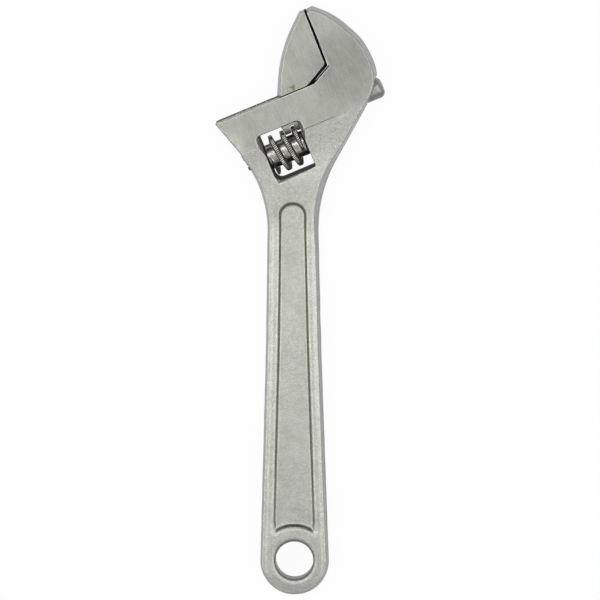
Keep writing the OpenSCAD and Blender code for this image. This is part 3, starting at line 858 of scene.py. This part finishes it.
def skin_height(x, y, u, plan, panel):
    """Height of the forged skin, with rolled edges and a bead below the hanging hole."""
    shoulder = ramp(y, NECK_Y, NECK_Y + SHOULDER)
    handle = TAIL_T + (NECK_T - TAIL_T) * np.clip(y / NECK_Y, 0, 1)
    head = changing(-u, changing(u, SKIN_T, (RIGHT_FALL,)), (LEFT_FALL,))
    skin = handle + (head - NECK_T) * shoulder
    skin = skin + waves(x, y, *SKIN_WAVES) + waves(x, y, *FINE_WAVES)
    bead = BEAD_H * swell(np.hypot(x, y), HOLE_R + BEAD_OUT, BEAD_W) * ramp(-y, *BEAD_RANGE)
    outer_roll = EDGE_ROLL * ramp(plan, *EDGE_ROLL_RANGE) * (1 - shoulder)
    inner_roll = PANEL_ROLL * ramp(-panel, *PANEL_ROLL_RANGE)
    return changing(-y, skin, (TAIL_FALL,)) + bead - outer_roll - inner_roll


def cut_panel(body, x, y, z, panel):
    """The panel's recess, whose walls lean out most at its lower end."""
    lean = changing(y, PANEL_LEAN, PANEL_LEAN_CHANGES)
    lean = lean + PANEL_END_LEAN * ramp(PANEL_END + 4 - y, 0, 2)
    wall = 0.9 * (through(panel) - through(lean) * (z - PANEL_WALL_Z))
    return less(body, both(wall, WEB_T + through(waves(x, y, *WEB_WAVES)) - z, 0.45), 0.35)


def cut_window(body, u, v, z):
    """The worm's window, a thumb relief on each side of it, and the worn lip below it."""
    window = outline([(WINDOW_LEFT, WINDOW_LOW, WINDOW_CORNER_R), (WINDOW_RIGHT, WINDOW_LOW, 0.4),
                      (WINDOW_RIGHT, WINDOW_TOP, 0.5), (WINDOW_LEFT, WINDOW_TOP, 0.3)])
    body = less(body, through(plan_distance(u, v, window)), 0.3)
    for side in (-1, 1):
        across = side * (u - WINDOW_MIDDLE)
        centre = WINDOW_HALF_W + RELIEF_W - RELIEF_R
        disc = np.hypot(across - centre, v - RELIEF_V) - RELIEF_R
        relief = np.maximum(both(disc, v - WINDOW_TOP - RELIEF_RISE, 1.3), -across)
        body = less(body, through(relief) + RELIEF_SLOPE * (GROUND_T - z), 0.2)
    taper = LIP_TAPER * (WINDOW_RIGHT - u) / (2 * WINDOW_HALF_W)
    lip = WINDOW_LOW - LIP_DROP - taper + waves(u, 0 * u, *LIP_WAVES)
    lip = np.maximum(np.maximum(lip - v, np.abs(u - WINDOW_MIDDLE) - WINDOW_HALF_W), v)
    return less(body, through(lip) + GROUND_T - z, 0.1)


def cut_bores(body, u, v, z):
    """The rail's bore with the neck's slot over it, and the axle's hole with its wider mouth."""
    u, v = through(u), through(v)
    body = less(body, np.hypot(v - RAIL_V, z) - (RAIL_R + BORE_CLEAR), 0.15)
    slot_end = JAW_U - THROAT_RUN + 0.55
    slot = np.maximum(z - NECK_THICK / 2 - SLOT_CLEAR, RAIL_V - v)
    body = less(body, np.maximum(slot, u - slot_end), 0.2)
    radius = np.hypot(v, z) - AXLE_CLEAR
    body = less(body, np.maximum(radius - AXLE_HEAD_R, u - WINDOW_LEFT), 0.15)
    seat = np.maximum(WINDOW_LEFT - u, u - SEAT_END)
    return less(body, np.maximum(radius - AXLE_R, seat), 0.1)


def body_field(axes):
    """Distance field of the forged body on a grid whose z values are 0 and up."""
    x, y = np.meshgrid(axes[0], axes[1], indexing="ij")
    u, v = to_head(x, y)
    z = axes[2][None, None, :]
    plan = plan_distance(x, y, body_outline()) + waves(x, y, *OUTLINE_WAVES)
    swelling = swell(v, FLANK_SWELL_V, FLANK_SWELL_W) * ramp(-u, *FLANK_SWELL_RANGE)
    plan = plan - FLANK_SWELL * swelling
    past_arc = PANEL_ARC_R - np.hypot(x, y - PANEL_ARC_Y)
    panel = both(plan_distance(x, y, panel_outline()), past_arc, 0.8)

    side = through(plan) + FLASH_OUT + through(side_draft(x, y, v)) * z
    flash = both(through(plan), z - FLASH_T, 0.15)
    body = both(side, z - through(skin_height(x, y, u, plan, panel)), 0.6)
    body = cut_panel(either(body, flash, 0.2), x, y, z, panel)
    hole_round = HOLE_ROUND + (HOLE_ROUND_TOP - HOLE_ROUND) * ramp(y, -2, 6)
    body = less(body, through(np.hypot(x, y) - HOLE_R), through(hole_round))

    below_ground = v - (GROUND_V + waves(u, 0 * u, *GROUND_WAVES))
    body = np.maximum(body, np.minimum(z - GROUND_T, through(below_ground)))

    out_u, out_v = -80, 90
    opening = outline([(out_u, SLIDE_V, 0), (FACE_U - THROAT_RUN, SLIDE_V, 0.6),
                       (FACE_U, SLIDE_V + THROAT_RISE, 0.6), (FACE_U, out_v, 0), (out_u, out_v, 0)])
    body = less(body, through(plan_distance(u, v, opening)), 0.12)
    return cut_bores(cut_window(body, u, v, z), u, v, z)


def make_body(material, step):
    """The forging, from the CAD box's size with a margin for its uneven skin."""
    low, high = (np.array(corner) / MM for corner in cad_box)
    axes = [*grid((low[0] - 1, low[1]), (high[0], high[1] + 1), step), upper_axis(SKIN_T, step)]
    forging = surface(*mirrored(body_field(axes), axes))
    field_piece("wrench_body_forging", *forging, "body", "wrench_body", "forged_steel", material)


# --- Sliding jaw -------------------------------------------------------------------------------

def rail_field(u, v, z):
    """Round rail with teeth cut to suit the worm, and a rounded plain end at its right."""
    radius = np.hypot(v - RAIL_V, z)
    rail = both(radius - RAIL_R, np.maximum(RAIL_LEFT - u, u - RAIL_RIGHT), RAIL_END_ROUND)
    rack_end = both(radius - RAIL_R, RAIL_LEFT - u, RACK_END_ROUND)
    rail = np.where(u < RAIL_LEFT + 3, rack_end, rail)
    lean = PITCH / (math.pi * (WORM_R + TOOTH_CREST_V))
    along = u - lean * z - THREAD_U + TOOTH_SHIFT
    count = math.floor((RAIL_RIGHT - RAIL_PLAIN - THREAD_U) / PITCH)
    nearest = np.clip(np.round(along / PITCH), 0, count)
    across = np.abs(along - nearest * PITCH)
    half = CREST_W / 2 + np.maximum(0, WORM_R - v) * FLANK + TOOTH_CLEAR
    space = both(across - half, v - (TOOTH_CREST_V + TOOTH_DEPTH), 0.35)
    flat = both(v - TOOTH_CREST_V, u - THREAD_U - count * PITCH)
    return less(less(rail, flat, 0.1), space, 0.12)


def jaw_outline(height):
    """Outline of the jaw's plate at a height: the forged back and the toe draw in with it."""
    toe = FACE_U - THROAT_RUN - TOE_GAP
    back_in = JAW_DRAFT * height
    foot = toe - 0.5 - FOOT_W + 1.12 * back_in
    face = JAW_U - FACE_LEAN - FACE_DRAFT * height
    return outline([
        (toe - TOE_DRAFT * height, SLIDE_V + JAW_CLEAR, 0.6),
        (face, SLIDE_V + THROAT_RISE + TOE_OPEN * height, 0.5),
        (JAW_U, TIP_V + 0.65, 0.4),
        (JAW_U - 2.0 + 0.2 * back_in, TIP_V + 0.9 - 0.6 * back_in, 0.8),
        (JAW_U - 13.6 + 0.65 * back_in, TIP_V - 9.1, 52),
        (foot, SLIDE_V + JAW_CLEAR, 0.5),
    ])


def plate_field(axes):
    """Distance field of the jaw's plate and neck on a grid whose z values are 0 and up."""
    u, v = np.meshgrid(axes[0], axes[1], indexing="ij")
    z = axes[2][None, None, :]
    side = np.stack([plan_distance(u, v, jaw_outline(height)) for height in axes[2]], axis=2)
    inward = ramp(JAW_U - u - 0.25 * (TIP_V - v), 0.5, 4) * ramp(v, SLIDE_V + 0.3, SLIDE_V + 1.5)
    foot = ramp(SLIDE_V + 1.2 - v, 0, 0.6)
    plate = both(side, z - GROUND_T, through(0.12 + 0.25 * inward + 0.3 * foot))
    neck_right = JAW_U - THROAT_RUN - TOE_GAP
    neck_left = neck_right - FOOT_W + 2
    neck_u = np.abs(u - (neck_left + neck_right) / 2) - (neck_right - neck_left) / 2
    neck = through(np.maximum(neck_u, np.abs(v - NECK_V) - NECK_HALF_V))
    return either(plate, both(neck, z - NECK_THICK / 2, 0.2))


def make_jaw(material, step):
    """Plate, neck and rail in one forging."""
    axes = [*grid((RAIL_LEFT - 0.2, RAIL_V - RAIL_R), (RAIL_RIGHT, TIP_V + 1), step),
            upper_axis(GROUND_T, step)]
    plate, axes = mirrored(plate_field(axes), axes)
    field = either(plate, rail_field(*np.meshgrid(*axes, indexing="ij")), 0.3)
    field_piece("movable_jaw_forging", *laid_in_head(*surface(field, axes)),
                "jaw", "movable_jaw", "jaw_steel", material)


# --- Worm, axle and spring ---------------------------------------------------------------------

def worm_field(u, v, z):
    """Single right-hand thread with a knurled crest on a core, bored for its axle and spring."""
    radius = np.hypot(v, z)
    angle = np.arctan2(z, v)
    along = u - THREAD_U - PITCH * angle / (2 * math.pi)
    lap = np.round(along / PITCH)
    offset = along - lap * PITCH
    wound = angle + 2 * math.pi * lap
    run_out = (WORM_R - CORE_R) * ramp(wound, THREAD_STOP - 0.1, THREAD_STOP + 0.4)
    half = CREST_W / 2 + (WORM_R - radius) * FLANK
    ridges = 0.5 + 0.5 * np.sin(KNURL_COUNT * angle + KNURL_LEAN * offset)
    knurl = KNURL_DEPTH * ridges * ramp(radius, WORM_R - 0.5, WORM_R - 0.1)
    past_hubs = np.maximum(WORM_LEFT + HUB_LEN - u, u - WORM_RIGHT + HUB_LEN)
    thread = both(np.abs(offset) - half, radius - WORM_R + knurl + run_out, 0.2)
    core = both(radius - CORE_R, np.maximum(WORM_LEFT - u, u - WORM_RIGHT), 0.3)
    worm = either(both(thread, past_hubs, 0.15), core, 0.25)
    worm = less(worm, radius - AXLE_R - WORM_CLEAR, 0.15)
    return less(worm, np.maximum(radius - POCKET_R, u - WORM_LEFT - POCKET_DEPTH), 0.15)


def make_worm(material, step):
    """The knurled adjusting screw."""
    reach = WORM_R + 0.1
    axes = grid((WORM_LEFT, -reach, -reach), (WORM_RIGHT, reach, reach), step)
    field = worm_field(*np.meshgrid(*axes, indexing="ij"))
    field_piece("worm_knurled", *laid_in_head(*surface(field, axes)),
                "worm", "worm", "worm_steel", material)


def make_axle(material, step):
    """Slotted screw: a threaded head in the left wall and a plain shank through the worm."""
    corners = np.array([v.co for v in frame["nodes"]["worm_axle"].data.vertices]) / MM
    along = (corners[:, :2] - HEAD) @ U_DIR
    start, end = along.min() - AXLE_STAND_OUT, along.max()
    axes = grid((start, -AXLE_HEAD_R, -AXLE_HEAD_R), (end, AXLE_HEAD_R, AXLE_HEAD_R), step)
    u, v, z = np.meshgrid(*axes, indexing="ij")
    radius = np.hypot(v, z)
    thread_start = start + AXLE_THREAD_START
    turns = 2 * math.pi * (u / AXLE_THREAD_PITCH) - np.arctan2(z, v)
    ridge = AXLE_THREAD_H * np.cos(turns) * ramp(u, thread_start, thread_start + 0.6)
    head = both(radius - AXLE_HEAD_R + AXLE_THREAD_H - ridge,
                np.maximum(start - u, u - WINDOW_LEFT), 0.25)
    shank = both(radius - AXLE_R, np.maximum(WINDOW_LEFT - 1 - u, u - end), 0.2)
    slot = np.maximum(np.abs(v) - SLOT_HALF_W, u - start - SLOT_DEPTH)
    axle = less(either(head, shank, 0.1), slot, 0.06)
    field_piece("worm_axle_screw", *laid_in_head(*surface(axle, axes)),
                "body", "worm_axle", "axle_steel", material)


def make_spring(material):
    """Small coil with flattened end turns, swept as a round wire."""
    coil_r = (POCKET_R + AXLE_R) / 2
    start = WINDOW_LEFT + SPRING_GAP + WIRE_R
    end = WORM_LEFT + POCKET_DEPTH - SPRING_GAP - WIRE_R
    rings_per_turn, sides = 48, 16
    last = SPRING_TURNS * rings_per_turn
    t = np.linspace(0, 1, last + 1)
    around = 2 * math.pi * SPRING_TURNS * t
    wire = 2 * math.pi * np.arange(sides) / sides
    u = start + (end - start) * (0.9 * ramp(t, 0.04, 0.96) + 0.1 * t)
    r = coil_r + WIRE_R * np.cos(wire)[None, :]
    tube = np.stack([u[:, None] - WIRE_R * np.sin(wire)[None, :],
                     r * np.cos(around)[:, None], r * np.sin(around)[:, None]], -1).reshape(-1, 3)
    centres = np.stack([u, coil_r * np.cos(around), coil_r * np.sin(around)], -1)
    sides_round = [(j, (j + 1) % sides) for j in range(sides)]
    faces = [(i * sides + j, i * sides + k, (i + 1) * sides + k, (i + 1) * sides + j)
             for i in range(last) for j, k in sides_round]
    for j, k in sides_round:
        faces.append((len(tube), k, j))
        faces.append((len(tube) + 1, last * sides + j, last * sides + k))
    verts = np.concatenate([tube, centres[[0, -1]]]) @ HEAD_TURN + HEAD_CENTRE
    mesh = bpy.data.meshes.new("worm_spring_coil")
    mesh.from_pydata((verts * MM).tolist(), [], faces)
    mesh.shade_smooth()
    add_piece("worm_spring_coil", mesh, "body", "worm_spring", material)


# --- Stage: camera, lights, world and floor, in metres -----------------------------------------

CAMERA_PLACE, CAMERA_TARGET = Vector((0.085, 0.430, 2.46)), Vector((0.0023, 0.0917, 0))
CAMERA_ROLL = math.radians(0.26)
VIEW_W = 0.2094
SENSOR_W = 36
LIGHT_TARGET = Vector((0, 0.1, 0))
LIGHTS = (("top_box", (-0.1, 0.9, 1.4), (1.2, 0.5), 4.5),
          ("left_box", (-0.8, 0.1, 1.0), (0.6, 1.0), 5),
          ("right_box", (0.8, 0.0, 1.0), (0.6, 1.0), 5))
SKY_STOPS = ((0.0, 0.25), (0.45, 0.6), (0.85, 1.0))
SKY_AWAY, SKY_AWAY_GAIN, SKY_STRENGTH = (0.55, 0.75), 0.4, 0.72
FLOOR_Z, FLOOR_HALF_W, FLOOR_GLOW = -WORM_R * MM, 3, 0.94


def make_camera():
    """Camera nearly straight above, whose picture is VIEW_W wide at the middle of the wrench."""
    camera = bpy.data.cameras.new("camera")
    camera.sensor_width = SENSOR_W
    camera.lens = SENSOR_W * (CAMERA_PLACE - CAMERA_TARGET).length / VIEW_W
    obj = bpy.data.objects.new("camera", camera)
    bpy.context.scene.collection.objects.link(obj)
    back = (CAMERA_PLACE - CAMERA_TARGET).normalized()
    up_hint = Vector((math.sin(CAMERA_ROLL), math.cos(CAMERA_ROLL), 0))
    right = up_hint.cross(back).normalized()
    turn = Matrix((right, back.cross(right), back)).transposed().to_4x4()
    obj.matrix_world = Matrix.Translation(CAMERA_PLACE) @ turn
    bpy.context.scene.camera = obj


def area_light(name, place, size, power):
    """A soft box aimed at the middle of the wrench."""
    light = bpy.data.lights.new(name, "AREA")
    light.shape = "RECTANGLE"
    light.size, light.size_y = size
    light.energy = power
    obj = bpy.data.objects.new(name, light)
    obj.location = place
    obj.rotation_euler = (LIGHT_TARGET - Vector(place)).to_track_quat("-Z", "Y").to_euler()
    bpy.context.scene.collection.objects.link(obj)


def make_world():
    """Plain sky, brightest overhead and dimmer on the side that the tips point to."""
    world = bpy.data.worlds.new("studio")
    bpy.context.scene.world = world
    n = Nodes(world, "Background")
    _, y, z = split(n, n.add("ShaderNodeTexCoord").outputs["Generated"])
    sky = n.add("ShaderNodeValToRGB", {0: z})
    stops = sky.color_ramp.elements
    stops.new(SKY_STOPS[1][0])
    for stop, (position, value) in zip(stops, SKY_STOPS):
        stop.position, stop.color = position, (value, value, value, 1)
    away = n.blend(n.step(y, *SKY_AWAY), 1.0, SKY_AWAY_GAIN)
    n.link(shade(n, sky.outputs[0], away), "Color")
    n.shader.inputs["Strength"].default_value = SKY_STRENGTH


def make_floor():
    """Pale floor that takes shadows and looks white to the camera and in the steel."""
    w, z = FLOOR_HALF_W, FLOOR_Z
    mesh = bpy.data.meshes.new("floor")
    mesh.from_pydata([(-w, -w, z), (w, -w, z), (w, w, z), (-w, w, z)], [], [(0, 1, 2, 3)])
    floor = bpy.data.objects.new("floor", mesh)
    bpy.context.scene.collection.objects.link(floor)
    n = new_material("floor_paper")
    n.shader.inputs["Base Color"].default_value = (*PAPER, 1)
    n.shader.inputs["Roughness"].default_value = PAPER_ROUGH
    glow = n.add("ShaderNodeEmission", {"Color": (1, 1, 1, 1), "Strength": 1.0})
    path = n.add("ShaderNodeLightPath").outputs
    seen = n.math("MAXIMUM", path["Is Camera Ray"], path["Is Glossy Ray"])
    seen = n.math("MAXIMUM", seen, path["Is Transmission Ray"])
    blend = n.add("ShaderNodeMixShader", {0: n.times(seen, FLOOR_GLOW), 1: n.shader.outputs[0],
                                          2: glow.outputs[0]})
    n.tree.links.new(blend.outputs[0], n.tree.nodes["Material Output"].inputs["Surface"])
    mesh.materials.append(n.owner)


# --- Assembly ----------------------------------------------------------------------------------

make_body(steel("forged_plated_steel", GROUND, GROUND_V, paint_body), BODY_STEP)
make_jaw(steel("ground_jaw_steel", JAW_GROUND, SLIDE_V - 1, paint_jaw), JAW_STEP)
make_worm(worm_steel(), WORM_STEP)
make_axle(bare_steel("axle_steel", AXLE_SHADE, AXLE_ROUGH, AXLE_SCALE), AXLE_STEP)
make_spring(bare_steel("spring_wire", WIRE, WIRE_ROUGH, WIRE_SCALE))
make_camera()
make_world()
make_floor()
for light in LIGHTS:
    area_light(*light)
bpy.context.scene.view_settings.view_transform = "Standard"
